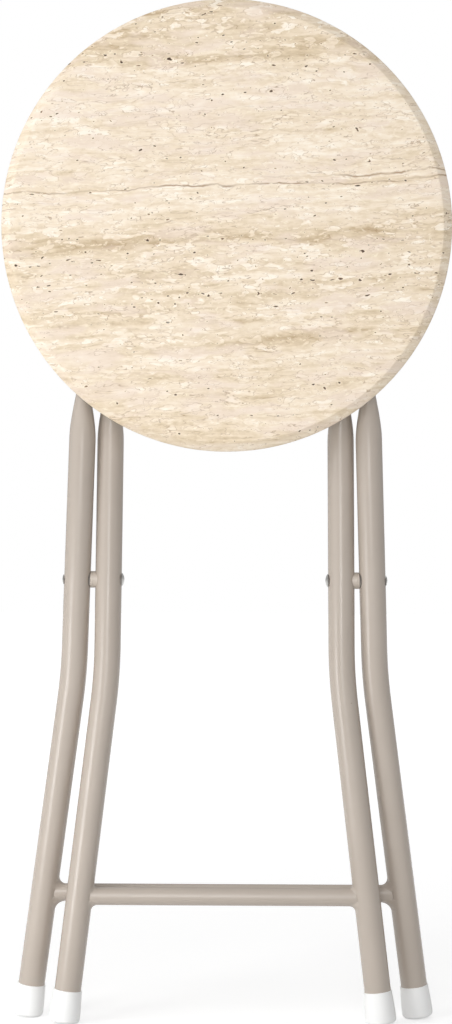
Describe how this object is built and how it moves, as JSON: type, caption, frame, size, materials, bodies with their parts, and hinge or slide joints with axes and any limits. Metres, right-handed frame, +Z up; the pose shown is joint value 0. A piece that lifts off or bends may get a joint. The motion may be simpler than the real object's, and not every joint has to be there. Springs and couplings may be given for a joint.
{
  "type": "folding stool",
  "caption": "Round-seat folding stool on bent tube legs that cross like scissors; shown folded, the seat swings down and clips onto the spread inner frame.",
  "frame": {"origin": "bottom centre of the folded stool's box, on the floor between the feet", "axes": "+Z up, -Y the way the seat faces when folded, +X to the right seen from the front"},
  "size_m": [0.3, 0.0652, 0.6861],
  "materials": {
    "travertine_foil": "satin printed film, travertine pattern",
    "fibreboard": "pressed fibreboard",
    "backing_sheet": "matt",
    "frame_paint": "semi-gloss powder coat, warm grey",
    "white_cap": "satin moulded",
    "nylon_saddle": "satin moulded",
    "zinc_steel": "zinc plated",
    "clip_plastic": "satin moulded"
  },
  "bodies": {
    "outer_frame": {"outer_leg_right": "frame_paint", "outer_leg_left": "frame_paint", "outer_stretcher": "frame_paint", "outer_welds": "frame_paint", "outer_cap_right": "white_cap", "outer_cap_left": "white_cap", "outer_saddle_right": "nylon_saddle", "outer_saddle_left": "nylon_saddle", "pivot_rivets": "zinc_steel", "hinge_rivets": "zinc_steel", "hinge_washers": "nylon_saddle"},
    "inner_frame": {"inner_leg_right": "frame_paint", "inner_leg_left": "frame_paint", "inner_stretcher": "frame_paint", "inner_welds": "frame_paint", "inner_cap_right": "white_cap", "inner_cap_left": "white_cap", "inner_saddle_right": "nylon_saddle", "inner_saddle_left": "nylon_saddle", "top_rod": "zinc_steel"},
    "seat": {"seat_core": "fibreboard", "seat_foil": "travertine_foil", "seat_backing": "backing_sheet", "hinge_bracket_right": "zinc_steel", "hinge_bracket_left": "zinc_steel", "bracket_screws": "zinc_steel", "rod_clip_right": "clip_plastic", "rod_clip_left": "clip_plastic", "clip_screws": "zinc_steel"}
  },
  "joints": [
    {"name": "leg_scissor", "type": "hinge", "parent": "outer_frame", "child": "inner_frame", "pos_m": [0, 0.01148, 0.2994], "axis": [-1, 0, 0], "range_deg": [0, 47.93]},
    {"name": "seat_hinge", "type": "hinge", "parent": "outer_frame", "child": "seat", "pos_m": [0, 0.00559, 0.4644], "axis": [-1, 0, 0], "range_deg": [0, 116.01]}
  ]
}
